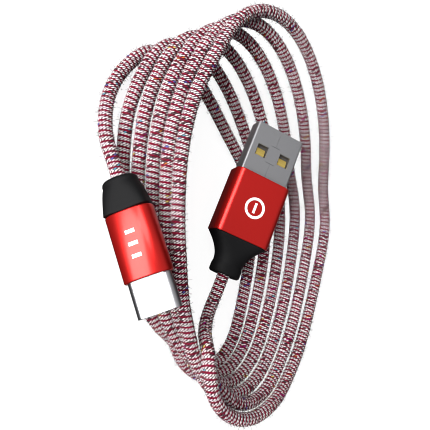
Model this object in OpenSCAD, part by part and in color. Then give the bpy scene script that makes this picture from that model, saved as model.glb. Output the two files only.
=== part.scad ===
// A braided charging cable lying in a loose coil, with a USB-A plug on one
// end and a USB-C plug on the other. Millimetres, +Z up, the coil rests on
// z = 0. Each plug is drawn along its own +Y, from the cord mouth of its boot
// at the origin to its tip, and is then put in its place on the coil.

/* [Cord] */
// Outside diameter of the braided cord
cord_d = 2.9; // [2.5:0.1:2.9]
// Diameter of the plastic jacket under the braid
jacket_d = 2.2; // [1.8:0.1:2.3]
// Diameter of one insulated wire
wire_d = 0.8; // [0.6:0.1:0.9]
// Clear gap between a plug's boot and the cord that swings in it
mouth_gap = 0.8; // [0.7:0.1:1]

/* [USB-A plug] */
// Width of the metal shell
a_shell_w = 12; // [11.9:0.1:12.1]
// Height of the metal shell
a_shell_h = 4.5; // [4.4:0.1:4.6]
// Length of shell that stands out of the sleeve
a_shell_out = 12; // [11:0.5:12]
// Thickness of the shell's sheet metal
a_sheet = 0.3; // [0.25:0.05:0.35]
// Width of the aluminium sleeve
a_sleeve_w = 13.6; // [13.6:0.1:14.4]
// Thickness of the aluminium sleeve
a_sleeve_t = 7.2; // [7:0.1:7.6]
// Length of the aluminium sleeve
a_sleeve_l = 15; // [14:0.5:18]
// Length of the boot, from the cord mouth to the sleeve
a_boot_l = 8.5; // [8:0.5:11]
// Side of the square holes in the shell
a_hole = 2.7; // [2.2:0.1:2.8]

/* [USB-C plug] */
// Width of the oval shell
c_shell_w = 8.3; // [8.2:0.05:8.35]
// Height of the oval shell
c_shell_h = 2.56; // [2.5:0.02:2.6]
// Length of shell that stands out of the sleeve
c_shell_out = 6.5; // [6.2:0.1:6.7]
// Width of the aluminium sleeve
c_sleeve_w = 9.1; // [9:0.1:9.8]
// Thickness of the aluminium sleeve
c_sleeve_t = 6.1; // [5.8:0.1:6.4]
// Length of the aluminium sleeve
c_sleeve_l = 12.5; // [12:0.5:15]
// Length of the boot, from the cord mouth to the sleeve
c_boot_l = 6.5; // [6:0.5:9]

/* [Hidden] */

$fn = 48;
cord_r = cord_d / 2;

// ---- Route of the coil -------------------------------------------------
// u counts turns. At a whole number the cord is on the near side, at a
// half on the far side. Every turn is wider and longer than the one before
// and lies over it where the two cross, near the top and near the bottom.
coil_from = 0.2;
coil_to = 5.8;
top_lift = 2.5;
bottom_lift = 2.25;
// The earlier turns are tucked in under the last one at the near bottom.
tuck_shift = [1.7, 1, -0.5];

function hump(a, a0, a1, p) = pow(sin(180 * min(1, max(0, (a - a0) / (a1 - a0)))), p);
function humps(a, a0, a1, p) = hump(a, a0, a1, p) + hump(a + 360, a0, a1, p)
    + hump(a - 360, a0, a1, p);
function turn_angle(u) = 360 * (u - floor(u));
function tuck(u) = max(0, 5 - u) * humps(turn_angle(u), 255, 390, 1.3);
function coil_x(u) = -13.3 + 4.05 * u - (16.9 + 2.1 * u) * cos(360 * u)
    + (1.95 * u - 6.6) * sin(360 * u) - 3.2 * cos(720 * u) + tuck(u) * tuck_shift[0];
function coil_y(u) = 1 - 0.45 * u + (31 + 1.4 * u) * sin(360 * u)
    + (3 * u - 11.3) * cos(360 * u) + 10.2 * sin(720 * u) + tuck(u) * tuck_shift[1];
function coil_z(u) = max(cord_r, cord_r + u * (top_lift * humps(turn_angle(u), -25, 150, 1.3)
    + bottom_lift * humps(turn_angle(u), 173, 450, 3)) + tuck(u) * tuck_shift[2]);
function coil_point(u) = [coil_x(u), coil_y(u), coil_z(u)];

// ---- Places of the plugs ------------------------------------------------
a_pos = [-7.1, -14.65, 6.7];
a_yaw = -23.8;
a_pitch = 4.5;
a_roll = -19.7;
c_pos = [-33.3, 5.3, 8.57];
c_yaw = -171.5;
c_pitch = 20;
c_roll = 46;

module place(pos, yaw, pitch, roll) {
    translate(pos) rotate([0, 0, yaw]) rotate([pitch, 0, 0]) rotate([0, roll, 0]) children();
}
module place_a() place(a_pos, a_yaw, a_pitch, a_roll) children();
module place_c() place(c_pos, c_yaw, c_pitch, c_roll) children();

// A direction along a plug, for the lead that leaves its boot.
function along(yaw, pitch) = [-sin(yaw) * cos(pitch), cos(yaw) * cos(pitch), sin(pitch)];
a_dir = along(a_yaw, a_pitch);
c_dir = along(c_yaw, c_pitch);

// ---- Routes of the two leads ---------------------------------------------
a_route = [coil_point(5.78), coil_point(5.8), [-5.9, -43.4, 14.3], [-10.4, -42.6, 15.1],
    [-13.6, -40.2, 15.5], [-17.3, -35.4, 16], [-18.2, -30.5, 15], [-15.8, -26.4, 11],
    a_pos - 8.5 * a_dir, a_pos - 4.5 * a_dir, a_pos - mouth_gap * a_dir];
c_route = [coil_point(0.2), coil_point(0.19), [-24, 32.1, 1.5], [-28.2, 28.9, 1.6], [-31.6, 24.3, 2.2],
    [-33.6, 19.1, 3.6], c_pos - 8.5 * c_dir, c_pos - 4 * c_dir, c_pos - mouth_gap * c_dir];

// ---- Tubes ----------------------------------------------------------------
function unit(v) = v / norm(v);
function smooth_at(p, i, t) = let(a = p[max(i - 1, 0)], b = p[i], c = p[i + 1], d = p[min(i + 2, len(p) - 1)])
    0.5 * (2 * b + (c - a) * t + (2 * a - 5 * b + 4 * c - d) * t * t + (3 * b - a - 3 * c + d) * t * t * t);
function smooth(p, n) = concat([for (i = [0 : len(p) - 2]) for (j = [0 : n - 1]) smooth_at(p, i, j / n)],
    [p[len(p) - 1]]);
function tangent(p, i) = unit(p[min(i + 1, len(p) - 1)] - p[max(i - 1, 0)]);
function ring(p, i, r, sides) = let(t = tangent(p, i), s = unit(cross(t, [0, 0, 1])), u = cross(s, t))
    [for (k = [0 : sides - 1]) p[i] + r * (cos(360 * k / sides) * s + sin(360 * k / sides) * u)];

module tube(route, r, per_step, sides = 8) {
    path = smooth(route, per_step);
    rings = len(path);
    points = [for (i = [0 : rings - 1]) each ring(path, i, r, sides)];
    walls = [for (i = [0 : rings - 2]) for (k = [0 : sides - 1]) let(n = (k + 1) % sides)
        each [[i * sides + k, i * sides + n, (i + 1) * sides + n],
              [i * sides + k, (i + 1) * sides + n, (i + 1) * sides + k]]];
    first = [[for (k = [sides - 1 : -1 : 0]) k]];
    last = [[for (k = [0 : sides - 1]) (rings - 1) * sides + k]];
    polyhedron(points = points, faces = concat(walls, first, last));
}

// ---- The coil's outer shape -------------------------------------------------
// At each angle the section spans from the outermost to the innermost turn,
// stands on the table and peaks over the last turn, which lies on top.
coil_steps = 60;
function turns_at(a) = [for (k = [0 : 5]) if (k + a / 360 >= coil_from && k + a / 360 <= coil_to) k + a / 360];
function outward(a) = unit([-cos(a), 1.6 * sin(a), 0]);
function reach(u, n) = coil_x(u) * n[0] + coil_y(u) * n[1];
function pick(us, n, far) = let(rs = [for (u = us) reach(u, n)], best = far ? max(rs) : min(rs))
    [for (i = [0 : len(us) - 1]) if (rs[i] == best) us[i]][0];
function on_table(p) = [p[0], p[1], 0];
function section(a) = let(n = outward(a), us = turns_at(a), o = coil_point(pick(us, n, true)),
        i = coil_point(pick(us, n, false)), peak = coil_point(us[len(us) - 1]))
    [on_table(o + cord_r * n), [o[0] + cord_r * n[0], o[1] + cord_r * n[1], o[2] + cord_r * 0.4],
     peak + [0, 0, cord_r], [i[0] - cord_r * n[0], i[1] - cord_r * n[1], i[2] + cord_r * 0.4],
     on_table(i - cord_r * n)];

module braided_coil() {
    sections = [for (s = [0 : coil_steps - 1]) section(360 * s / coil_steps)];
    points = [for (s = sections) each s];
    corners = 5;
    faces = [for (s = [0 : coil_steps - 1]) for (k = [0 : corners - 1])
        let(m = (s + 1) % coil_steps, n = (k + 1) % corners)
        each [[s * corners + k, m * corners + k, m * corners + n],
              [s * corners + k, m * corners + n, s * corners + n]]];
    color("firebrick") polyhedron(points = points, faces = faces);
}

module usb_a_lead() { color("firebrick") tube(a_route, cord_r, 3); }
module usb_c_lead() { color("firebrick") tube(c_route, cord_r, 3); }

// ---- Shapes that repeat -------------------------------------------------------
// A flat rounded bar along Y: width w in X, thickness t in Z.
module bar(w, t, y0, y1, r) {
    translate([0, y1, 0]) rotate([90, 0, 0]) linear_extrude(y1 - y0) rounded(w, t, r);
}
module rounded(w, t, r) {
    square([w - 2 * r, t], center = true);
    square([w, t - 2 * r], center = true);
    for (x = [-1, 1], y = [-1, 1]) translate([x * (w / 2 - r), y * (t / 2 - r)]) circle(r);
}
module oval(w, t) {
    square([w - t, t], center = true);
    for (x = [-1, 1]) translate([x * (w - t) / 2, 0]) circle(d = t);
}
module oval_bar(w, t, y0, y1) {
    translate([0, y1, 0]) rotate([90, 0, 0]) linear_extrude(y1 - y0) oval(w, t);
}
module box_at(x0, x1, y0, y1, z0, z1) { translate([x0, y0, z0]) cube([x1 - x0, y1 - y0, z1 - z0]); }
module rod_y(r, y0, y1) { translate([0, y1, 0]) rotate([90, 0, 0]) cylinder(r = r, h = y1 - y0); }

// A boot as a stack of rounded slices that grow from the cord to the sleeve.
module boot_body(neck_w, neck_t, w, t, l, collar) {
    flare = l - collar;
    hull() {
        bar(neck_w, neck_t, 0, collar * 0.8, neck_t / 2 - 0.05);
        bar(neck_w * 1.04, neck_t * 1.04, collar * 0.4, collar * 0.6, neck_t / 2 - 0.05);
    }
    hull() {
        bar(neck_w * 0.98, neck_t * 0.98, collar * 0.5, collar, neck_t / 2 - 0.1);
        bar(neck_w + (w - neck_w) * 0.35, neck_t + (t - neck_t) * 0.4, collar + flare * 0.42,
            collar + flare * 0.45, neck_t / 2 - 0.05);
    }
    hull() {
        bar(neck_w + (w - neck_w) * 0.35, neck_t + (t - neck_t) * 0.4, collar + flare * 0.42,
            collar + flare * 0.45, neck_t / 2 - 0.05);
        bar(w, t, l - 0.8, l, neck_t / 2 - 0.05);
    }
}
module mouth_bore() {
    rod_y(cord_r + 0.45, -1, 1.6);
    rod_y(jacket_d / 2 + 0.02, 1.5, 30);
}

// ---- USB-A plug ---------------------------------------------------------------
a_sleeve_y = a_boot_l;
a_face_y = a_boot_l + a_sleeve_l;
a_tip_y = a_face_y + a_shell_out;
a_shell_y = a_face_y - 6;
a_in_w = a_shell_w - 2 * a_sheet;
a_in_h = a_shell_h - 2 * a_sheet;
a_wall = 0.6;
a_room_w = a_sleeve_w - 2 * a_wall;
a_room_t = a_sleeve_t - 2 * a_wall;
a_tongue_t = 1.84;
a_tongue_z = a_in_h / 2 - a_tongue_t;
// The four contacts lie this far to each side of the middle.
a_contact_x = [-3.5, -1, 1, 3.5];

module usb_a_shell() {
    seam_w = 0.12;
    color("silver") place_a() difference() {
        bar(a_shell_w, a_shell_h, a_shell_y, a_tip_y, 0.5);
        bar(a_in_w, a_in_h, a_shell_y - 1, a_tip_y + 1, 0.25);
        for (x = [-2.9, 2.9])
            box_at(x - a_hole / 2, x + a_hole / 2, a_tip_y - 7.6, a_tip_y - 7.6 + a_hole, -5, 5);
        box_at(-seam_w / 2, seam_w / 2, a_shell_y - 1, a_tip_y - 8.2, 2.1, 5);
        box_at(-seam_w / 2, seam_w / 2, a_tip_y - 4.2, a_tip_y + 1, 2.1, 5);
        box_at(-1.1, 1.1, a_tip_y - 8.2 - seam_w, a_tip_y - 8.2, 2.1, 5);
        box_at(-1.1, 1.1, a_tip_y - 4.2, a_tip_y - 4.2 + seam_w, 2.1, 5);
    }
}
module usb_a_tongue() {
    side = a_in_w / 2 - 0.15;
    top = a_in_h / 2 - 0.05;
    color("whitesmoke") place_a() difference() {
        union() {
            box_at(-side, side, a_face_y - 2, a_tip_y - 0.9, a_tongue_z, top);
            box_at(-side, side, a_face_y - 5.5, a_face_y - 2, -a_in_h / 2 + 0.05, top);
        }
        for (x = a_contact_x)
            box_at(x - 0.6, x + 0.6, a_face_y - 6, a_tip_y - 1.6, a_tongue_z - 1, a_tongue_z + 0.3);
        for (x = [-2.9, 2.9]) box_at(x - 1.25, x + 1.25, a_tip_y - 7.5, a_tip_y - 5, top - 0.6, 5);
    }
}
module usb_a_contacts() {
    color("gold") place_a() for (x = a_contact_x) {
        box_at(x - 0.5, x + 0.5, a_face_y - 7.5, a_tip_y - 1.8, a_tongue_z + 0.02, a_tongue_z + 0.28);
        box_at(x - 0.35, x + 0.35, a_face_y - 9.5, a_face_y - 7.5, a_tongue_z + 0.02, a_tongue_z + 0.28);
    }
}
module usb_a_rear_block() {
    side = a_in_w / 2 - 0.2;
    top = a_in_h / 2 - 0.1;
    color("whitesmoke") place_a() difference() {
        box_at(-side, side, a_face_y - 8.2, a_face_y - 5.6, -top, top);
        for (x = a_contact_x)
            box_at(x - 0.55, x + 0.55, a_face_y - 9, a_face_y - 5, a_tongue_z, a_tongue_z + 0.32);
    }
}
module usb_a_solder_joints() {
    color("lightgrey") place_a() for (x = a_contact_x)
        translate([x, a_face_y - 9, a_tongue_z - 0.45]) scale([1, 1.5, 1]) sphere(0.42, $fn = 12);
}
module usb_a_rear_can() {
    t = 0.2;
    color("silver") place_a() difference() {
        bar(a_in_w, a_in_h + 0.6, a_boot_l + 3, a_face_y - 6.2, 0.4);
        bar(a_in_w - 2 * t, a_in_h + 0.6 - 2 * t, a_boot_l + 3 + t, a_face_y - 5, 0.3);
        rod_y(jacket_d / 2 + 0.02, 0, a_face_y);
    }
}
module usb_a_crimp() {
    color("silver") place_a() difference() {
        rod_y(jacket_d / 2 + 0.32, a_boot_l + 1, a_boot_l + 2.9);
        rod_y(jacket_d / 2 + 0.02, a_boot_l, a_boot_l + 4);
    }
}
module usb_a_inner_mould() {
    color("dimgray") place_a() difference() {
        bar(a_room_w - 0.06, a_room_t - 0.06, a_sleeve_y + 0.1, a_face_y - 0.9, 1.2);
        bar(a_shell_w + 0.02, a_shell_h + 0.02, a_face_y - 6.1, a_face_y, 0.5);
        bar(a_in_w + 0.04, a_in_h + 0.64, a_boot_l + 2.95, a_face_y - 6, 0.4);
        rod_y(jacket_d / 2 + 0.36, 0, a_boot_l + 3);
    }
}
module usb_a_face_plate() {
    color([0.13, 0.12, 0.12]) place_a() difference() {
        bar(a_room_w - 0.06, a_room_t - 0.06, a_face_y - 0.85, a_face_y - 0.15, 1.2);
        bar(a_shell_w + 0.06, a_shell_h + 0.06, a_face_y - 1, a_face_y + 1, 0.5);
    }
}
module usb_a_sleeve() {
    color("crimson") place_a() difference() {
        bar(a_sleeve_w, a_sleeve_t, a_sleeve_y, a_face_y, 1.8);
        bar(a_room_w, a_room_t, a_sleeve_y - 1, a_face_y + 1, 1.2);
    }
}
// A plain printed ring with a short bar, level with the sleeve's face.
module usb_a_mark() {
    z = a_sleeve_t / 2;
    y = a_sleeve_y + a_sleeve_l / 2;
    color("white") place_a() translate([0, y, z - 0.02]) {
        difference() {
            cylinder(r = 2.4, h = 0.06);
            translate([0, 0, -1]) cylinder(r = 1.8, h = 2);
        }
        box_at(-0.3, 0.3, -1.2, 1.2, 0, 0.06);
    }
}
module usb_a_boot() {
    color([0.08, 0.08, 0.08]) place_a() difference() {
        boot_body(7, 5.6, a_sleeve_w - 0.5, a_sleeve_t - 0.4, a_boot_l - 0.02, 2.6);
        mouth_bore();
    }
}
module usb_a_jacket_end() { color("black") place_a() rod_y(jacket_d / 2, 1.6, a_boot_l + 3.4); }

// The four wires leave the jacket side by side, this far from its centre.
inner_core = wire_d * 0.53;
outer_core = wire_d * 1.6;

// A wire from the jacket's end to its place behind a plug's contacts.
module wire(x, z, y0, y1, x0) {
    mid = (y0 + y1) / 2;
    hull() {
        translate([x0, y0 + 0.3, 0]) sphere(d = wire_d, $fn = 10);
        translate([(x0 + x) / 2, mid, z]) sphere(d = wire_d, $fn = 10);
    }
    hull() {
        translate([(x0 + x) / 2, mid, z]) sphere(d = wire_d, $fn = 10);
        translate([x, y1 - wire_d / 2, z]) sphere(d = wire_d, $fn = 10);
    }
}
module usb_a_wire(x, x0) { place_a() wire(x, -0.5, a_boot_l + 3.5, a_face_y - 9.3, x0); }
module usb_a_power_wire() { color("red") usb_a_wire(-3.5, -outer_core); }
module usb_a_ground_wire() { color("black") usb_a_wire(3.5, outer_core); }
module usb_a_data_wires() {
    color("green") usb_a_wire(-1, -inner_core);
    color("white") usb_a_wire(1, inner_core);
}

// ---- USB-C plug ---------------------------------------------------------------
c_face_y = c_boot_l + c_sleeve_l;
c_tip_y = c_face_y + c_shell_out;
c_sheet = 0.25;
c_wall = 0.3;
c_room_w = c_sleeve_w - 2 * c_wall;
c_room_t = c_sleeve_t - 2 * c_wall;
c_in_w = c_shell_w - 2 * c_sheet;
c_in_h = c_shell_h - 2 * c_sheet;

module usb_c_shell() {
    color("silver") place_c() difference() {
        oval_bar(c_shell_w, c_shell_h, c_face_y - 4, c_tip_y);
        oval_bar(c_in_w, c_in_h, c_face_y - 5, c_tip_y + 1);
    }
}
// The twelve contacts of a row lie this far to each side of the middle.
c_contact_x = [-2.75 : 0.5 : 2.8];

module usb_c_housing() {
    color([0.1, 0.1, 0.1]) place_c() difference() {
        oval_bar(c_in_w - 0.04, c_in_h - 0.04, c_face_y - 3.8, c_tip_y - 0.4);
        box_at(-3.05, 3.05, c_face_y - 0.5, c_tip_y + 1, -0.5, 0.5);
        for (x = c_contact_x, z = [0.6, -0.6])
            box_at(x - 0.14, x + 0.14, c_face_y - 5, c_tip_y - 1.2, z - 0.15, z + 0.15);
        for (x = [-3.25, 3.25]) box_at(x - 0.2, x + 0.2, c_face_y - 5, c_tip_y + 1, -0.3, 0.3);
        box_at(-3.3, 3.3, c_face_y - 5, c_face_y - 0.4, -0.1, 0.1);
    }
}
module c_contacts(z) {
    for (x = c_contact_x) box_at(x - 0.11, x + 0.11, c_face_y - 4.6, c_tip_y - 1.4, z - 0.08, z + 0.08);
}
module usb_c_upper_contacts() { color("gold") place_c() c_contacts(0.6); }
module usb_c_lower_contacts() { color("gold") place_c() c_contacts(-0.6); }
module usb_c_latch_plate() {
    color("lightsteelblue") place_c() {
        box_at(-3.2, 3.2, c_face_y - 4.6, c_face_y - 0.6, -0.07, 0.07);
        for (x = [-3.25, 3.25]) box_at(x - 0.12, x + 0.12, c_face_y - 4.4, c_tip_y - 1.1, -0.07, 0.07);
    }
}
module usb_c_ground_springs() {
    color("silver") place_c() for (x = [-2, 0, 2], z = [0.4, -0.4])
        box_at(x - 0.5, x + 0.5, c_tip_y - 2.2, c_tip_y - 0.7, z - 0.06, z + 0.06);
}
module usb_c_board() {
    color("seagreen") place_c()
        box_at(-3.3, 3.3, c_face_y - 8.6, c_face_y - 4.7, -0.35, 0.35);
}
module usb_c_resistor() {
    color([0.15, 0.15, 0.15]) place_c() {
        box_at(1.2, 2.8, c_face_y - 7.2, c_face_y - 6.4, 0.36, 0.8);
    }
}
module usb_c_rear_can() {
    t = 0.2;
    color("silver") place_c() difference() {
        oval_bar(c_room_w - 0.9, c_room_t - 1.6, c_boot_l + 1.6, c_face_y - 4.2);
        oval_bar(c_room_w - 0.9 - 2 * t, c_room_t - 1.6 - 2 * t, c_boot_l + 1.6 + t, c_face_y);
        rod_y(jacket_d / 2 + 0.02, 0, c_face_y);
    }
}
// The shell fills the sleeve's width, so what holds it is cut away at its sides.
module beside_shell() {
    for (x = [-5, 5]) box_at(x - 1.4, x + 1.4, c_face_y - 4.1, c_face_y + 1, -5, 5);
}
module usb_c_inner_mould() {
    color("dimgray") place_c() difference() {
        oval_bar(c_room_w - 0.06, c_room_t - 0.06, c_boot_l + 0.1, c_face_y - 0.7);
        oval_bar(c_shell_w + 0.02, c_shell_h + 0.02, c_face_y - 4.05, c_face_y);
        oval_bar(c_room_w - 0.86, c_room_t - 1.56, c_boot_l + 1.5, c_face_y - 4);
        rod_y(jacket_d / 2 + 0.02, 0, c_boot_l + 3);
        beside_shell();
    }
}
module usb_c_end_ring() {
    color([0.2, 0.2, 0.21]) place_c() difference() {
        oval_bar(c_room_w - 0.06, c_room_t - 0.06, c_face_y - 0.65, c_face_y - 0.05);
        oval_bar(c_shell_w + 0.06, c_shell_h + 0.06, c_face_y - 1, c_face_y + 1);
        beside_shell();
    }
}
module usb_c_sleeve() {
    color("crimson") place_c() difference() {
        oval_bar(c_sleeve_w, c_sleeve_t, c_boot_l, c_face_y);
        oval_bar(c_room_w, c_room_t, c_boot_l - 1, c_face_y + 1);
    }
}
// Three plain printed bars, level with the sleeve's face.
module usb_c_mark() {
    color("white") place_c() for (y = [-2.2, 0, 2.2])
        box_at(-0.9, 0.9, c_boot_l + c_sleeve_l / 2 + y - 0.35, c_boot_l + c_sleeve_l / 2 + y + 0.35,
            c_sleeve_t / 2 - 0.02, c_sleeve_t / 2 + 0.04);
}
module usb_c_boot() {
    color([0.08, 0.08, 0.08]) place_c() difference() {
        boot_body(6.8, 5.4, c_sleeve_w - 0.5, c_sleeve_t - 0.3, c_boot_l - 0.02, 1.6);
        mouth_bore();
    }
}
module usb_c_jacket_end() { color("black") place_c() rod_y(jacket_d / 2, 1.6, c_boot_l + 2); }
module usb_c_wire(x, x0) { place_c() wire(x, 0.8, c_boot_l + 2.2, c_face_y - 7.4, x0); }
module usb_c_power_wire() { color("red") usb_c_wire(-2.6, -outer_core); }
module usb_c_ground_wire() { color("black") usb_c_wire(2.6, outer_core); }
module usb_c_data_wires() {
    color("green") usb_c_wire(-0.85, -inner_core);
    color("white") usb_c_wire(0.85, inner_core);
}

braided_coil();
usb_a_lead();
usb_c_lead();
usb_a_shell();
usb_a_tongue();
usb_a_contacts();
usb_a_rear_block();
usb_a_solder_joints();
usb_a_rear_can();
usb_a_crimp();
usb_a_inner_mould();
usb_a_face_plate();
usb_a_sleeve();
usb_a_mark();
usb_a_boot();
usb_a_jacket_end();
usb_a_power_wire();
usb_a_ground_wire();
usb_a_data_wires();
usb_c_shell();
usb_c_housing();
usb_c_upper_contacts();
usb_c_lower_contacts();
usb_c_latch_plate();
usb_c_ground_springs();
usb_c_board();
usb_c_resistor();
usb_c_rear_can();
usb_c_inner_mould();
usb_c_end_ring();
usb_c_sleeve();
usb_c_mark();
usb_c_boot();
usb_c_jacket_end();
usb_c_power_wire();
usb_c_ground_wire();
usb_c_data_wires();
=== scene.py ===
# %% [markdown]
# A charging cable with a braided cord, wound into a loose coil, and a plug in a red metal sleeve
# at each end. The design lives in the CAD model, which gives every piece its place and size.
# This lesson gives the cord its real route and weave, and the plugs their finish.

# %% Load the frame
import math

import bmesh
import bpy
import numpy as np
from mathutils import Matrix, Vector


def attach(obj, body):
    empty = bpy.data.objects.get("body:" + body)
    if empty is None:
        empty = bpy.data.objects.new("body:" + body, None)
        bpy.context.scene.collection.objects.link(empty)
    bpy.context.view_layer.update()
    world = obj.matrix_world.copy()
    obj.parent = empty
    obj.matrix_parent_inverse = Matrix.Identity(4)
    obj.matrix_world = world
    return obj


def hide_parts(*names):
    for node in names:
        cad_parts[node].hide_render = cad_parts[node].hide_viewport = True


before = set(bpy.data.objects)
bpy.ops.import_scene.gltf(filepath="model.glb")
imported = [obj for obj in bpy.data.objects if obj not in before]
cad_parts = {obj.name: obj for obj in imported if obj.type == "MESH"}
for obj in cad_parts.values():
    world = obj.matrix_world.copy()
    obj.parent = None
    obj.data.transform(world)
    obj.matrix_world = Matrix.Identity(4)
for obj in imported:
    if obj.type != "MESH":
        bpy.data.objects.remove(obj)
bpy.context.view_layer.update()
MM = 0.001

# %% [markdown]
# The camera comes first, because the cord's route is judged through it. It looks down at the coil
# from one side, close enough that the near turns look thicker than the far ones. It is turned on
# its own axis so that the coil's long side stands upright in the frame.

# %% Camera
CAMERA_ELEVATION = math.radians(52)
CAMERA_DISTANCE = 110.5 * MM
CAMERA_LENS = 39.0
LOOK_AT = Vector((-4.2, -1.3, 0)) * MM


def add_camera():
    forward = Vector((math.cos(CAMERA_ELEVATION), 0, -math.sin(CAMERA_ELEVATION)))
    right = Vector((math.sin(CAMERA_ELEVATION), 0, math.cos(CAMERA_ELEVATION)))
    up = Vector((0, 1, 0))
    camera = bpy.data.objects.new("camera", bpy.data.cameras.new("camera"))
    bpy.context.scene.collection.objects.link(camera)
    turn = Matrix((right, up, -forward)).transposed().to_4x4()
    camera.matrix_world = Matrix.Translation(LOOK_AT - forward * CAMERA_DISTANCE) @ turn
    camera.data.lens = CAMERA_LENS
    camera.data.clip_start = 0.001
    bpy.context.scene.camera = camera


add_camera()
print("camera at", [round(c, 4) for c in bpy.context.scene.camera.matrix_world.translation])

# %% [markdown]
# Each plug is drawn along its own Y axis, from the mouth of its boot to its tip, and is then
# carried to its place on the coil. These are the same places and angles as in the CAD model. They
# began as a numeric fit of each plug's corners that also kept it clear of the cord, and were then
# rounded and adjusted.

# %% Places of the plugs
A_PLACE = {"at": (-7.1, -14.65, 6.7), "yaw": -23.8, "pitch": 4.5, "roll": -19.7}
C_PLACE = {"at": (-33.3, 5.3, 8.57), "yaw": -171.5, "pitch": 20.0, "roll": 46.0}


def plug_matrix(place):
    turn = Matrix.Rotation(math.radians(place["yaw"]), 4, "Z")
    turn = turn @ Matrix.Rotation(math.radians(place["pitch"]), 4, "X")
    turn = turn @ Matrix.Rotation(math.radians(place["roll"]), 4, "Y")
    return Matrix.Translation(Vector(place["at"]) * MM) @ turn


PLUG_A = plug_matrix(A_PLACE)
PLUG_C = plug_matrix(C_PLACE)
print("USB-A plug at", A_PLACE["at"], "mm; USB-C plug at", C_PLACE["at"], "mm")

# %% [markdown]
# The cord's route. The coil follows a formula: with every turn the loop grows, moves across and
# climbs over the turn before it where the two cross. On the near side the earlier turns are
# tucked in under the last one. A formula was chosen over a hand-drawn curve, because one number
# then changes every turn together. Its numbers began as a numeric fit to the coil's outline, and
# were then scaled and rounded. Only the tuck was found by trying a few values.

# %% Route of the coil
CORD_RADIUS = 1.45 * MM
COIL_FROM, COIL_TO = 0.2, 5.8
TOP_LIFT, BOTTOM_LIFT = 2.5, 2.25
TUCK_SHIFT = (1.7, 1.0, -0.5)
IN_BOOT = 1.0 * MM


def hump(angle, start, end, power):
    """Rises from 0 to 1 and falls back, between two angles of a turn."""
    total = 0.0
    for lap in (0, 360, -360):
        share = min(1.0, max(0.0, (angle + lap - start) / (end - start)))
        total += max(0.0, math.sin(math.pi * share)) ** power
    return total


def coil_point(turn):
    swing = 2 * math.pi * turn
    angle = 360 * (turn - math.floor(turn))
    x = -13.3 + 4.05 * turn - (16.9 + 2.1 * turn) * math.cos(swing)
    x += (1.95 * turn - 6.6) * math.sin(swing) - 3.2 * math.cos(2 * swing)
    y = 1 - 0.45 * turn + (31 + 1.4 * turn) * math.sin(swing)
    y += (3 * turn - 11.3) * math.cos(swing) + 10.2 * math.sin(2 * swing)
    rise = turn * (TOP_LIFT * hump(angle, -25, 150, 1.3) + BOTTOM_LIFT * hump(angle, 173, 450, 3))
    tuck = max(0, 5 - turn) * hump(angle, 255, 390, 1.3)
    point = Vector((x, y, rise)) + Vector(TUCK_SHIFT) * float(tuck)
    return Vector((point.x, point.y, max(0, point.z))) * MM + Vector((0, 0, CORD_RADIUS))


print("coil of", round(COIL_TO - COIL_FROM, 1), "turns")

# %% [markdown]
# The leads. Each end of the cord leaves the coil and climbs to its plug. Nothing repeats here, so
# the route is a short list of points. They were set one by one, with the help of places measured
# along the cord through the camera and of guessed heights. A smooth curve runs through them into
# the mouth of the boot.

# %% Routes of the leads
def along_plug(plug, distance):
    return plug @ Vector((0, distance, 0))


A_LEAD = [Vector(p) * MM for p in ((-5.9, -43.4, 14.3), (-10.4, -42.6, 15.1), (-13.6, -40.2, 15.5),
                                   (-17.3, -35.4, 16), (-18.2, -30.5, 15), (-15.8, -26.4, 11))]
A_LEAD += [along_plug(PLUG_A, d * MM) for d in (-8.5, -4.5, -0.8)] + [along_plug(PLUG_A, IN_BOOT)]
C_LEAD = [Vector(p) * MM for p in ((-24, 32.1, 1.5), (-28.2, 28.9, 1.6), (-31.6, 24.3, 2.2),
                                   (-33.6, 19.1, 3.6))]
C_LEAD += [along_plug(PLUG_C, d * MM) for d in (-8.5, -4, -0.8)] + [along_plug(PLUG_C, IN_BOOT)]
COIL_POINTS = 400
BLEND = 12


def smooth_line(points, per_step):
    """A Catmull-Rom curve through the points."""
    line = []
    last = len(points) - 1
    for i in range(last):
        a, b, c, d = points[max(i - 1, 0)], points[i], points[i + 1], points[min(i + 2, last)]
        for j in range(per_step):
            t = j / per_step
            line.append(0.5 * (2 * b + (c - a) * t + (2 * a - 5 * b + 4 * c - d) * t * t
                               + (3 * b - a - 3 * c + d) * t ** 3))
    return line + [points[last]]


def rough_route():
    """The C lead, the coil and the A lead, end to end."""
    coil = [coil_point(turn) for turn in np.linspace(COIL_FROM, COIL_TO, COIL_POINTS)]
    start = smooth_line([coil[BLEND], coil[0]] + C_LEAD, BLEND)[BLEND:]
    end = smooth_line([coil[-BLEND], coil[-1]] + A_LEAD, BLEND)[BLEND:]
    return np.array([list(p) for p in list(reversed(start)) + coil[1:-1] + end])


print("leads through", len(A_LEAD), "and", len(C_LEAD), "points")

# %% [markdown]
# A real cord can't pass through itself. The route is cut into even steps and then settled: where
# two stretches are closer than one diameter they push each other apart, the cord's own stiffness
# evens out the bends, and nothing sinks below the table.

# %% Settle the cord on itself
STEP = 1.5 * MM
HELD_STEPS = 6
PUSH, UNBEND, RECALL = 0.5, 0.4, 0.01


def even_steps(line, step):
    spans = np.linalg.norm(np.diff(line, axis=0), axis=1)
    walked = np.concatenate([[0.0], np.cumsum(spans)])
    marks = np.linspace(0, walked[-1], int(round(walked[-1] / step)) + 1)
    return np.stack([np.interp(marks, walked, line[:, axis]) for axis in range(3)], axis=1)


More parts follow.
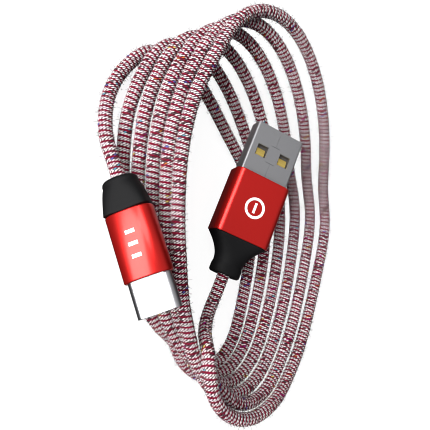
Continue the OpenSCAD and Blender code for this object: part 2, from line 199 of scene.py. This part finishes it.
def settle(line, rounds=80):
    """Pushes close stretches apart. The steps in the boots stay where they are."""
    gap = 2.0 * CORD_RADIUS
    number = np.arange(len(line))
    apart = np.abs(np.subtract.outer(number, number)) > HELD_STEPS
    start = line.copy()
    free = np.ones((len(line), 1))
    free[:HELD_STEPS] = free[-HELD_STEPS:] = 0
    for _ in range(rounds):
        between = line[:, None, :] - line[None, :, :]
        distance = np.linalg.norm(between, axis=2) + 1e-9
        short = np.where(apart, np.clip(gap - distance, 0, None), 0)
        push = (between / distance[:, :, None] * short[:, :, None]).sum(axis=1)
        push /= np.maximum(1, (short > 0).sum(axis=1))[:, None]
        bend = np.zeros_like(line)
        bend[1:-1] = (line[:-2] + line[2:]) / 2 - line[1:-1]
        bend[1:-1] -= (bend[:-2] + bend[2:]) / 2
        line = line + free * (PUSH * push + UNBEND * bend + RECALL * (start - line))
        line[:, 2] = np.maximum(line[:, 2], CORD_RADIUS)
    return line


ROUTE = even_steps(settle(even_steps(rough_route(), STEP)), STEP)

# %% [markdown]
# Materials are built from nodes. A few helpers keep the graphs short: one adds a node and fills
# or links its inputs, one does arithmetic, and one starts a material with its shader.

# %% Helpers for materials
def fill(tree, socket, value):
    if isinstance(value, bpy.types.NodeSocket):
        tree.links.new(value, socket)
    elif value is not None:
        socket.default_value = value


def add_node(tree, kind, inputs=(), **settings):
    node = tree.nodes.new(kind)
    for name, value in settings.items():
        setattr(node, name, value)
    for name, value in dict(inputs).items():
        fill(tree, node.inputs[name], value)
    return node


def calc(tree, operation, *values):
    node = tree.nodes.new("ShaderNodeMath")
    node.operation = operation
    for socket, value in zip(node.inputs, values):
        fill(tree, socket, value)
    return node.outputs[0]


def ease(tree, value, low, high):
    inputs = {"Value": value, "From Min": low, "From Max": high}
    node = add_node(tree, "ShaderNodeMapRange", inputs, interpolation_type="SMOOTHSTEP")
    return node.outputs[0]


def blend_colours(tree, factor, first, second):
    node = add_node(tree, "ShaderNodeMix", data_type="RGBA")
    fill(tree, node.inputs[0], factor)
    fill(tree, node.inputs[6], first)
    fill(tree, node.inputs[7], second)
    return node.outputs[2]


def noise(tree, scale, detail=2.0):
    place = add_node(tree, "ShaderNodeTexCoord").outputs["Object"]
    inputs = {"Vector": place, "Scale": scale, "Detail": detail}
    return add_node(tree, "ShaderNodeTexNoise", inputs).outputs["Fac"]


def start_material(name, **constants):
    material = bpy.data.materials.new(name)
    material.use_nodes = True
    tree = material.node_tree
    shader = tree.nodes["Principled BSDF"]
    for key, value in constants.items():
        shader.inputs[key.replace("_", " ")].default_value = value
    return material, tree, shader


def add_bump(tree, shader, height, strength, distance):
    bump = add_node(tree, "ShaderNodeBump", {"Height": height, "Strength": strength, "Distance": distance})
    tree.links.new(bump.outputs[0], shader.inputs["Normal"])


def colour(red, green, blue):
    return (red, green, blue, 1.0)


# %% [markdown]
# The braid. Real braid is yarn over yarn: pale rows of short slanted stitches, with a thin crimson
# row between them, and now and then a stray coloured thread. It could be modelled yarn by yarn,
# but over a metre of cord that would be millions of faces. So the cord's own coordinates carry
# the pattern: one runs round the cord, and one counts rows along it. The rows wind round as a
# shallow helix, so a row number and a place in the row come from their sum.

# %% Braid material
ROW_PITCH = 1.06 * MM
STITCHES = 13
SLANT_PER_ROW = -1.75
DARK_ABOVE = 0.93
STRAY_FROM, STRAY_SHARE, STRAY_STEP = 0.4, 0.005, 0.006
STRAY_COLOURS = (colour(0.75, 0.55, 0.12), colour(0.1, 0.35, 0.5), colour(0.12, 0.12, 0.5),
                 colour(0.6, 0.03, 0.3), colour(0.7, 0.2, 0.04))


def braid_material():
    material, tree, shader = start_material("braided_yarn", Roughness=0.9, Specular_IOR_Level=0.15)
    uv = add_node(tree, "ShaderNodeUVMap", uv_map="UVMap").outputs[0]
    split = add_node(tree, "ShaderNodeSeparateXYZ", {"Vector": uv})
    around, rows = split.outputs["X"], split.outputs["Y"]
    wobble = calc(tree, "MULTIPLY_ADD", noise(tree, 1500.0), 0.34, -0.17)
    winding = calc(tree, "ADD", calc(tree, "ADD", rows, around), wobble)
    row, place = calc(tree, "FLOOR", winding), calc(tree, "FRACT", winding)
    slant = calc(tree, "MULTIPLY_ADD", place, SLANT_PER_ROW,
                 calc(tree, "MULTIPLY", around, float(STITCHES)))
    slant = calc(tree, "ADD", slant, calc(tree, "MULTIPLY", noise(tree, 700.0), 0.5))
    stitch, across = calc(tree, "FLOOR", slant), calc(tree, "FRACT", slant)
    from_middle = calc(tree, "ABSOLUTE", calc(tree, "SUBTRACT", across, 0.5))
    yarn = calc(tree, "SUBTRACT", 1.0, ease(tree, from_middle, 0.2, 0.3))
    key = add_node(tree, "ShaderNodeCombineXYZ", {"X": stitch, "Y": row}).outputs[0]
    chance = add_node(tree, "ShaderNodeTexWhiteNoise", {"Vector": key}, noise_dimensions="2D")
    luck, tint = chance.outputs["Value"], chance.outputs["Color"]
    pale = blend_colours(tree, luck, colour(1.0, 0.94, 0.95), colour(0.85, 0.7, 0.73))
    dark_stitch = calc(tree, "GREATER_THAN", luck, DARK_ABOVE)
    pale = blend_colours(tree, dark_stitch, pale, colour(0.10, 0.05, 0.06))
    for number, stray in enumerate(STRAY_COLOURS):
        low = STRAY_FROM + STRAY_STEP * number
        here = calc(tree, "MULTIPLY", calc(tree, "GREATER_THAN", luck, low),
                    calc(tree, "LESS_THAN", luck, low + STRAY_SHARE))
        pale = blend_colours(tree, here, pale, stray)
    # Between the stitches the pale rows drop to near black: painted shade in the gaps between the yarns.
    pale = blend_colours(tree, yarn, colour(0.008, 0.004, 0.005), pale)
    side = add_node(tree, "ShaderNodeSeparateColor", {"Color": tint}).outputs["Green"]
    crimson = blend_colours(tree, side, colour(0.36, 0.005, 0.04), colour(0.17, 0.003, 0.02))
    # The crimson rows also darken between their stitches: painted shade in the gaps between the yarns.
    crimson = blend_colours(tree, yarn, colour(0.09, 0.004, 0.012), crimson)
    off_row = calc(tree, "ABSOLUTE", calc(tree, "SUBTRACT", place, 0.5))
    crimson_row = calc(tree, "SUBTRACT", 1.0, ease(tree, off_row, 0.15, 0.21))
    tree.links.new(blend_colours(tree, crimson_row, pale, crimson), shader.inputs["Base Color"])
    height = calc(tree, "MULTIPLY", yarn, calc(tree, "MULTIPLY_ADD", crimson_row, -0.5, 1.0))
    add_bump(tree, shader, height, 0.8, 0.12 * MM)
    return material


BRAID = braid_material()
print("braid of", len(BRAID.node_tree.nodes), "shader nodes")

# %% [markdown]
# The cord itself. A flat strip of cloth is made with the grid operator, which also lays out its
# coordinates, and is then rolled into a tube along the route. The pale rows stand a little proud
# of the crimson ones, so the rows show in the mesh as well as in the colour.

# %% Cord mesh
SIDES = 18
RINGS_PER_ROW = 4
ROW_RELIEF = 0.07 * MM


def frames_along(line):
    """Tangents and two side directions that don't twist along the line."""
    tangents = np.gradient(line, axis=0)
    tangents /= np.linalg.norm(tangents, axis=1)[:, None]
    sides = np.zeros_like(line)
    side = np.cross(tangents[0], (0, 0, 1))
    for i, tangent in enumerate(tangents):
        side = side - tangent * side.dot(tangent)
        side /= np.linalg.norm(side)
        sides[i] = side
    return tangents, sides, np.cross(tangents, sides)


def link_mesh(name, mesh):
    piece = bpy.data.objects.new(name, mesh)
    bpy.context.scene.collection.objects.link(piece)
    return piece


def roll_cloth(name, line, radius, row_pitch):
    length = float(np.linalg.norm(np.diff(line, axis=0), axis=1).sum())
    rows = round(length / row_pitch)
    bm = bmesh.new()
    bm.loops.layers.uv.new("UVMap")
    bmesh.ops.create_grid(bm, x_segments=SIDES, y_segments=rows * RINGS_PER_ROW, size=0.5, calc_uvs=True)
    mesh = bpy.data.meshes.new(name)
    bm.to_mesh(mesh)
    bm.free()
    flat = np.empty(len(mesh.vertices) * 3)
    mesh.vertices.foreach_get("co", flat)
    flat = flat.reshape(-1, 3) + 0.5
    around, along = flat[:, 0], flat[:, 1]
    tangents, sides, ups = frames_along(line)
    marks = np.linspace(0, 1, len(line))
    at, side, up = (np.stack([np.interp(along, marks, data[:, axis]) for axis in range(3)], axis=1)
                    for data in (line, sides, ups))
    relief = ROW_RELIEF * np.cos(2 * math.pi * (along * rows + around))
    reach = (radius - ROW_RELIEF + relief)[:, None]
    angle = (2 * math.pi * around)[:, None]
    mesh.vertices.foreach_set("co", (at + reach * (np.cos(angle) * side + np.sin(angle) * up)).ravel())
    uv = np.empty(len(mesh.loops) * 2)
    layer = mesh.uv_layers["UVMap"].data
    layer.foreach_get("uv", uv)
    uv[1::2] *= rows
    layer.foreach_set("uv", uv)
    close_tube(mesh)
    mesh.shade_smooth()
    return link_mesh(name, mesh)


def close_tube(mesh):
    bm = bmesh.new()
    bm.from_mesh(mesh)
    bmesh.ops.remove_doubles(bm, verts=bm.verts[:], dist=0.002 * MM)
    ends = [e for e in bm.edges if e.is_boundary]
    bmesh.ops.holes_fill(bm, edges=ends, sides=0)
    bmesh.ops.recalc_face_normals(bm, faces=bm.faces[:])
    bm.to_mesh(mesh)
    bm.free()


cord = roll_cloth("braided_cord", ROUTE, CORD_RADIUS, ROW_PITCH)
cord.data.materials.append(BRAID)
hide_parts("braided_coil", "usb_a_lead", "usb_c_lead")
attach(cord, "cord")
print("cord triangles", sum(len(p.vertices) - 2 for p in cord.data.polygons))

# %% [markdown]
# Fibres. Braided yarn is hairy: short loose fibres stand off the cord and soften its outline. A
# hair system could grow them, but a plain mesh can be carried anywhere. So each is a thin needle
# with three sides, planted on the braid with a seeded random draw.

# %% Loose fibres
FIBRES = 13000
FIBRE_LENGTH = 0.9 * MM
FIBRE_RADIUS = 0.036 * MM
FIBRE_LEAN = 0.8
ROOT_DEPTH = 0.12 * MM


def fibre_mesh(name, line, count):
    draw = np.random.default_rng(7)
    tangents, sides, ups = frames_along(line)
    mesh = bpy.data.meshes.new(name)
    bm = bmesh.new()
    bmesh.ops.create_cone(bm, segments=3, radius1=FIBRE_RADIUS, radius2=FIBRE_RADIUS * 0.3,
                          depth=1.0, cap_ends=True)
    bm.verts.ensure_lookup_table()
    needle = np.array([list(v.co) for v in bm.verts])
    faces = [[v.index for v in f.verts] for f in bm.faces]
    bm.free()
    spots = draw.uniform(2, len(line) - 4, count)
    index = spots.astype(int)
    part = (spots - index)[:, None]
    at = line[index] * (1 - part) + line[index + 1] * part
    angle = draw.uniform(0, 2 * math.pi, count)[:, None]
    out = np.cos(angle) * sides[index] + np.sin(angle) * ups[index]
    aim = out + draw.normal(0, FIBRE_LEAN, (count, 1)) * tangents[index]
    aim = aim + draw.normal(0, FIBRE_LEAN, (count, 1)) * np.cross(out, tangents[index])
    aim /= np.linalg.norm(aim, axis=1)[:, None]
    length = FIBRE_LENGTH * draw.uniform(0.4, 1.3, count)[:, None]
    root = at + out * (CORD_RADIUS - ROOT_DEPTH)
    flat_a = np.cross(aim, tangents[index] + 0.01)
    flat_a /= np.linalg.norm(flat_a, axis=1)[:, None]
    flat_b = np.cross(aim, flat_a)
    across, over, along = (needle[None, :, axis:axis + 1] for axis in range(3))
    corners = (root[:, None, :] + across * flat_a[:, None, :] + over * flat_b[:, None, :]
               + (along + 0.5) * (aim * length)[:, None, :])
    corners = corners.reshape(-1, 3)
    corners[:, 2] = np.maximum(corners[:, 2], 0.02 * MM)
    every = [[corner + len(needle) * i for corner in face] for i in range(count) for face in faces]
    mesh.from_pydata(corners.tolist(), [], every)
    return mesh


def fibre_material():
    material, tree, shader = start_material("loose_fibre", Roughness=0.9)
    cloudy = ease(tree, noise(tree, 900.0), 0.5, 0.7)
    tone = blend_colours(tree, cloudy, colour(0.01, 0.006, 0.008), colour(0.25, 0.15, 0.17))
    tree.links.new(tone, shader.inputs["Base Color"])
    return material


fibres = link_mesh("braid_fibres", fibre_mesh("braid_fibres", ROUTE, FIBRES))
fibres.data.materials.append(fibre_material())
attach(fibres, "cord")
print("fibres", FIBRES, "with", len(fibres.data.polygons), "faces")

# %% [markdown]
# Metals and plastics. The sleeves are anodised aluminium: a satin red with a fine blasted grain.
# The shells are plated steel, brushed lightly along their length. The boots are soft black rubber.

# %% Plug materials
def grainy(name, tone, grain_scale, grain_depth, **constants):
    """A one-colour finish whose tone and height vary with a fine grain."""
    material, tree, shader = start_material(name, **constants)
    grain = noise(tree, grain_scale, 4.0)
    darker = colour(*[0.86 * c for c in tone])
    tree.links.new(blend_colours(tree, grain, darker, colour(*tone)), shader.inputs["Base Color"])
    add_bump(tree, shader, grain, 0.25, grain_depth)
    return material


RED_SLEEVE = grainy("red_anodised", (0.78, 0.022, 0.018), 9000.0, 0.003 * MM, Metallic=0.8, Roughness=0.3,
                    Coat_Weight=0.2, Coat_Roughness=0.15)
BRUSHED = grainy("brushed_steel", (0.36, 0.36, 0.37), 9000.0, 0.0008 * MM, Metallic=0.9, Roughness=0.5)
STEEL = grainy("plated_steel", (0.68, 0.68, 0.7), 9000.0, 0.0008 * MM, Metallic=1.0, Roughness=0.3)
INNER_STEEL = grainy("tinned_steel", (0.55, 0.55, 0.56), 1800.0, 0.01 * MM, Metallic=1.0, Roughness=0.4)
GOLD = grainy("gold_plate", (1.0, 0.74, 0.2), 2500.0, 0.004 * MM, Metallic=0.9, Roughness=0.4)
BOOT = grainy("boot_rubber", (0.006, 0.006, 0.0065), 9000.0, 0.02 * MM, Roughness=0.6,
              Specular_IOR_Level=0.12)
BLACK = grainy("black_plastic", (0.02, 0.02, 0.021), 5000.0, 0.01 * MM, Roughness=0.4)
TONGUE = grainy("tongue_plastic", (0.06, 0.055, 0.05), 5000.0, 0.01 * MM, Roughness=0.5)
WHITE_PLASTIC = grainy("white_plastic", (0.8, 0.8, 0.78), 5000.0, 0.01 * MM, Roughness=0.5)
MOULD = grainy("grey_mould", (0.25, 0.25, 0.25), 3000.0, 0.02 * MM, Roughness=0.6)
RED_WIRE = grainy("red_wire", (0.6, 0.02, 0.02), 4000.0, 0.01 * MM, Roughness=0.45)
BOARD = grainy("green_board", (0.02, 0.16, 0.06), 3000.0, 0.01 * MM, Roughness=0.3)
PRINT = grainy("white_print", (0.9, 0.9, 0.9), 8000.0, 0.01 * MM, Roughness=0.6)

NODE_FINISH = {
    "usb_a_shell": BRUSHED, "usb_c_shell": STEEL, "usb_a_sleeve": RED_SLEEVE, "usb_c_sleeve": RED_SLEEVE,
    "usb_a_boot": BOOT, "usb_c_boot": BOOT, "usb_a_tongue": TONGUE, "usb_a_contacts": GOLD,
    "usb_c_upper_contacts": GOLD, "usb_c_lower_contacts": GOLD, "usb_a_rear_block": WHITE_PLASTIC,
    "usb_a_solder_joints": INNER_STEEL, "usb_a_rear_can": INNER_STEEL, "usb_a_crimp": INNER_STEEL,
    "usb_c_rear_can": INNER_STEEL, "usb_c_latch_plate": INNER_STEEL, "usb_c_ground_springs": INNER_STEEL,
    "usb_a_inner_mould": MOULD, "usb_c_inner_mould": MOULD, "usb_a_face_plate": BLACK,
    "usb_c_end_ring": BLACK, "usb_c_housing": BLACK, "usb_a_jacket_end": BLACK, "usb_c_jacket_end": BLACK,
    "usb_c_resistor": BLACK, "usb_a_ground_wire": BLACK, "usb_c_ground_wire": BLACK,
    "usb_a_power_wire": RED_WIRE, "usb_c_power_wire": RED_WIRE, "usb_a_data_wires": WHITE_PLASTIC,
    "usb_c_data_wires": WHITE_PLASTIC, "usb_c_board": BOARD, "usb_a_mark": PRINT, "usb_c_mark": PRINT,
}

for node_name, finish in NODE_FINISH.items():
    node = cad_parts[node_name]
    node.data.materials.clear()
    node.data.materials.append(finish)
print("finishes on", len(NODE_FINISH), "pieces")

# %% [markdown]
# Stamped and machined edges are never razor sharp: each catches a thin line of light. The USB-C
# shell and the USB-A sleeve are copied from the CAD pieces, their loose triangles are merged into
# whole faces, and every hard edge gets a small bevel. The USB-A shell keeps its own mesh: a face
# with holes in it can't be merged into one, and a bevel there would crease it.

# %% Soft edges on metal and plastic
HARD_ANGLE = math.radians(35)
SMOOTH_BELOW = math.radians(20)


def softened(node_name, width, body):
    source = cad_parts[node_name]
    mesh = source.data.copy()
    mesh.name = node_name + "_finished"
    bm = bmesh.new()
    bm.from_mesh(mesh)
    bmesh.ops.remove_doubles(bm, verts=bm.verts[:], dist=0.0005 * MM)
    bmesh.ops.dissolve_limit(bm, angle_limit=math.radians(1), verts=bm.verts[:], edges=bm.edges[:])
    hard = [e for e in bm.edges if len(e.link_faces) == 2 and e.calc_face_angle(0) > HARD_ANGLE]
    bmesh.ops.bevel(bm, geom=hard, offset=width, segments=2, profile=0.5, affect="EDGES",
                    clamp_overlap=True, material=-1)
    bm.to_mesh(mesh)
    bm.free()
    mesh.shade_smooth()
    mesh.set_sharp_from_angle(angle=SMOOTH_BELOW)
    piece = link_mesh(node_name + "_finished", mesh)
    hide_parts(node_name)
    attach(piece, body)
    print(node_name, "has", len(hard), "softened edges")
    return piece


softened("usb_c_shell", 0.08 * MM, "usb_c_plug")
a_sleeve = softened("usb_a_sleeve", 0.22 * MM, "usb_a_plug")

# %% [markdown]
# Behind each square hole in the USB-A shell lies a sprung tab of gold-plated metal. It is a thin
# plate that leans towards the hole, with a bend across its end.

# %% Sprung tabs behind the holes
A_TIP = 35.5
A_HOLES = (-2.9, 2.9)
TAB_WIDTH = 2.1
TAB = [(-7.45, 1.5), (-6.9, 1.72), (-5.75, 1.42), (-5.2, 0.9)]


def hole_tabs(name):
    bm = bmesh.new()
    for x in A_HOLES:
        rim = [bm.verts.new(((x - TAB_WIDTH / 2) * MM, (A_TIP + y) * MM, z * MM)) for y, z in TAB]
        edges = [bm.edges.new(pair) for pair in zip(rim, rim[1:])]
        made = bmesh.ops.extrude_edge_only(bm, edges=edges)["geom"]
        fresh = [v for v in made if isinstance(v, bmesh.types.BMVert)]
        bmesh.ops.translate(bm, verts=fresh, vec=(TAB_WIDTH * MM, 0, 0))
    bmesh.ops.recalc_face_normals(bm, faces=bm.faces[:])
    bmesh.ops.solidify(bm, geom=bm.faces[:], thickness=0.12 * MM)
    bm.transform(PLUG_A)
    mesh = bpy.data.meshes.new(name)
    bm.to_mesh(mesh)
    bm.free()
    tabs = link_mesh(name, mesh)
    tabs.data.materials.append(GOLD)
    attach(tabs, "usb_a_plug")
    print("tabs with", len(mesh.polygons), "faces")


hole_tabs("usb_a_hole_tabs")

# %% [markdown]
# Boots and sleeves are both grown by drawing a loop along the plug. A circle is extruded station
# by station, and each new loop is set to that station's width and thickness, and to a squareness:
# 2 is an oval, and more comes nearer to a box. Scaling one primitive couldn't change its section
# on the way, and this can.

# %% Loops drawn along a plug
CREASE_ANGLE = math.radians(50)


def set_loop(verts, y, width, thick, squareness):
    for i, vert in enumerate(verts):
        angle = 2 * math.pi * i / len(verts)
        c, s = math.cos(angle), math.sin(angle)
        x = 0.5 * width * math.copysign(abs(c) ** (2 / squareness), c)
        z = 0.5 * thick * math.copysign(abs(s) ** (2 / squareness), s)
        vert.co = (x * MM, y * MM, z * MM)


def extrude_loop(bm, verts):
    """Extrudes a closed loop and gives back the new vertices in the same order."""
    edges = [bm.edges.get((verts[i], verts[(i + 1) % len(verts)])) for i in range(len(verts))]
    made = set(bmesh.ops.extrude_edge_only(bm, edges=edges)["geom"])
    return [next(e.other_vert(v) for e in v.link_edges if e.other_vert(v) in made) for v in verts]


def draw_loops(bm, segments, stations):
    """Draws a tube through the stations, and gives back its first and last loops."""
    first = bmesh.ops.create_circle(bm, segments=segments, radius=1.0 * MM, cap_ends=False)["verts"]
    set_loop(first, *stations[0])
    last = first
    for station in stations[1:]:
        last = extrude_loop(bm, last)
        set_loop(last, *station)
    return first, last


def place_piece(bm, name, plug, node_name, finish, body):
    bm.transform(plug)
    mesh = bpy.data.meshes.new(name)
    bm.to_mesh(mesh)
    bm.free()
    mesh.shade_smooth()
    mesh.set_sharp_from_angle(angle=CREASE_ANGLE)
    piece = link_mesh(name, mesh)
    piece.data.materials.append(finish)
    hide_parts(node_name)
    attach(piece, body)
    print(name, "has", len(mesh.polygons), "faces")
    return piece


# %% [markdown]
# The boots. Each is one soft rubber moulding. It starts as a round collar at the cord, flares out
# in a hollow curve, and ends just inside the metal sleeve. A short blind hole takes the cord.

# %% Boots
BOOT_SIDES = 56
MOUTH_RADIUS = 1.85


def flare(start, end, wide, thick, sleeve_wide, sleeve_thick, power, count=12):
    """Stations from a round collar to the sleeve's shape, hollow in the middle."""
    stations = []
    for i in range(count + 1):
        share = i / count
        grow = share ** power
        stations.append((start + (end - start) * share, wide + (sleeve_wide - wide) * grow,
                         thick + (sleeve_thick - thick) * grow, 2 + 3.0 * grow))
    return stations


def boot(name, plug, stations, body):
    bm = bmesh.new()
    mouth, end = draw_loops(bm, BOOT_SIDES, stations)
    bmesh.ops.contextual_create(bm, geom=end)
    for y, radius in ((0.12, MOUTH_RADIUS), (1.5, MOUTH_RADIUS - 0.1), (1.55, 0.6)):
        mouth = extrude_loop(bm, mouth)
        set_loop(mouth, y, 2 * radius, 2 * radius, 2)
    bmesh.ops.contextual_create(bm, geom=mouth)
    bmesh.ops.recalc_face_normals(bm, faces=bm.faces[:])
    return place_piece(bm, name, plug, name.replace("_moulded", ""), BOOT, body)


A_COLLAR = [(0, 6.5, 5.1, 2), (0.15, 6.9, 5.5, 2.1), (0.4, 7.2, 5.7, 2.2), (1.7, 7.2, 5.7, 2.3),
            (2.2, 7, 5.6, 2.4)]
C_COLLAR = [(0, 5.6, 4.4, 2), (0.12, 6.2, 5, 2), (0.4, 6.7, 5.3, 2.1), (0.8, 6.9, 5.4, 2.2)]
A_FLARE = flare(2.6, 8.3, 7.0, 5.6, 13.1, 6.9, 1.9) + [(8.48, 12.9, 6.7, 5)]
C_FLARE = flare(1.2, 6.3, 7.0, 5.45, 8.8, 5.9, 0.9) + [(6.48, 8.6, 5.7, 3)]
a_boot = boot("usb_a_boot_moulded", PLUG_A, A_COLLAR + A_FLARE, "usb_a_plug")
boot("usb_c_boot_moulded", PLUG_C, C_COLLAR + C_FLARE, "usb_c_plug")

# %% [markdown]
# The USB-C sleeve is turned and then pressed to a soft oval, so light slides across it from one
# edge to the other. A beveled box would show flat bands, so it is drawn in loops like the boots,
# with a small round at each end, and then given its wall.

# %% USB-C sleeve
SLEEVE_SIDES = 72
SLEEVE_WALL = 0.3 * MM
C_SLEEVE = [(6.5, 8.7, 5.7, 2.6), (6.6, 9.0, 6.0, 2.6), (6.75, 9.1, 6.1, 2.6), (18.75, 9.1, 6.1, 2.6),
            (18.9, 9.0, 6.0, 2.6), (19.0, 8.7, 5.7, 2.6)]


def turned_sleeve(name, plug, stations, body):
    bm = bmesh.new()
    draw_loops(bm, SLEEVE_SIDES, stations)
    bmesh.ops.recalc_face_normals(bm, faces=bm.faces[:])
    bmesh.ops.solidify(bm, geom=bm.faces[:], thickness=SLEEVE_WALL)
    return place_piece(bm, name, plug, name.replace("_turned", ""), RED_SLEEVE, body)


turned_sleeve("usb_c_sleeve_turned", PLUG_C, C_SLEEVE, "usb_c_plug")

# %% [markdown]
# The pieces that make up the USB-A plug are gathered in one list: the finished sleeve and boot,
# and the CAD pieces by name.

A_PIECES = [a_sleeve, a_boot]
A_PIECES += ["usb_a_shell", "usb_a_mark", "usb_a_face_plate", "usb_a_tongue", "usb_a_contacts"]

# %% [markdown]
# The stage. The floor glows a little, so it stays near white with only faint shadows. It is hidden
# from reflections and bounced light, so the undersides of the cord and plugs stay dark. A large
# soft panel low on the near side draws the bright strips on the metal, and the sky is pale
# overhead and dark towards the horizon.

# %% Stage and lights
def add_floor():
    bm = bmesh.new()
    bmesh.ops.create_grid(bm, x_segments=1, y_segments=1, size=3.0)
    mesh = bpy.data.meshes.new("floor")
    bm.to_mesh(mesh)
    bm.free()
    floor = link_mesh("floor", mesh)
    material, tree, shader = start_material("pale_floor", Roughness=0.9, Emission_Strength=0.93)
    shader.inputs["Base Color"].default_value = colour(0.12, 0.12, 0.12)
    shader.inputs["Emission Color"].default_value = colour(1.0, 1.0, 1.0)
    floor.data.materials.append(material)
    floor.visible_diffuse = False
    floor.visible_glossy = False


def add_panel(name, place, target, size, power):
    lamp = bpy.data.lights.new(name, "AREA")
    lamp.shape = "RECTANGLE"
    lamp.size, lamp.size_y = size
    lamp.energy = power
    panel = bpy.data.objects.new(name, lamp)
    bpy.context.scene.collection.objects.link(panel)
    panel.location = place
    panel.rotation_euler = (Vector(target) - Vector(place)).to_track_quat("-Z", "Y").to_euler()


def add_world(low, high):
    world = bpy.data.worlds.new("studio")
    world.use_nodes = True
    tree = world.node_tree
    direction = add_node(tree, "ShaderNodeTexCoord").outputs["Generated"]
    split = add_node(tree, "ShaderNodeSeparateXYZ", {"Vector": direction})
    lean = calc(tree, "MULTIPLY_ADD", split.outputs["X"], -0.45, split.outputs["Z"])
    sky = ease(tree, lean, -0.1, 0.75)
    tree.links.new(blend_colours(tree, sky, low, high), tree.nodes["Background"].inputs[0])
    bpy.context.scene.world = world


add_floor()
add_panel("near_panel", (-0.5, 0.05, 0.22), (0, 0, 0.01), (0.55, 0.3), 5.2)
add_panel("top_panel", (-0.32, 0.32, 0.42), (0, 0, 0), (0.25, 0.25), 1.6)
add_world(colour(0.02, 0.02, 0.02), colour(0.36, 0.36, 0.37))
bpy.context.scene.view_settings.view_transform = "Standard"
bpy.context.scene.cycles.filter_width = 1.0
